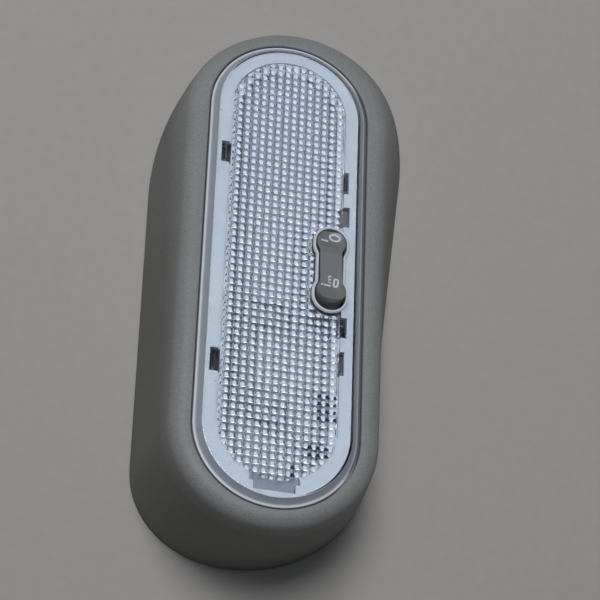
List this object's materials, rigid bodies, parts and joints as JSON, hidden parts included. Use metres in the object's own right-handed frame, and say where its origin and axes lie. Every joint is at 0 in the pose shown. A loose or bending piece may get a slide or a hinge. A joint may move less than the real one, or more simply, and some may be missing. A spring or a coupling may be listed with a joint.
{
  "type": "car dome light",
  "caption": "Surface-mounted car dome light with a grey wedge housing, clear prismatic lens over a white tray, and a three-position rocker switch.",
  "frame": {"origin": "centre of the bounding box on the roof face, the open back that the lamp stands on", "axes": "+Z from the roof face to the lens, +Y along the lamp toward its thin end, +X across it toward the rocker"},
  "size_m": [0.0724, 0.1574, 0.0368],
  "materials": {
    "grey_plastic": "fine moulded grain",
    "clear_plastic": "clear polished",
    "white_plastic": "smooth moulded",
    "rocker_plastic": "fine moulded grain",
    "tinned_brass": "stamped, tin plated",
    "spring_steel": "plain",
    "bulb_glass": "clear",
    "bright_sheet": "bright",
    "black_plastic": "moulded",
    "tungsten": "wire"
  },
  "bodies": {
    "lamp": {"housing": "grey_plastic", "lens": "clear_plastic", "reflector_tray": "white_plastic", "feed_strip": "tinned_brass", "switched_strip": "tinned_brass", "earth_strip": "tinned_brass", "door_strip": "tinned_brass", "retaining_spring": "spring_steel", "bulb_glass": "bulb_glass", "bulb_cap_near": "bright_sheet", "bulb_cap_far": "bright_sheet", "bulb_filament": "tungsten", "heat_shield": "bright_sheet", "connector_shroud": "black_plastic"},
    "rocker": {"switch_rocker": "rocker_plastic", "switch_plunger": "tinned_brass", "switch_spring": "spring_steel"},
    "blade": {"contact_blade": "tinned_brass"}
  },
  "joints": [
    {"name": "rocker_tip", "type": "hinge", "parent": "lamp", "child": "rocker", "pos_m": [0.0129, 0.00184, 0.01762], "axis": [1, 0, 0], "range_deg": [0, 14]},
    {"name": "blade_tip", "type": "hinge", "parent": "lamp", "child": "blade", "pos_m": [0.0129, 0.00032, 0.01048], "axis": [1, 0, 0], "range_deg": [-12, 0]}
  ],
  "couplings": [
    {"joint": "blade_tip", "follows": "rocker_tip", "ratio": -0.85714}
  ]
}
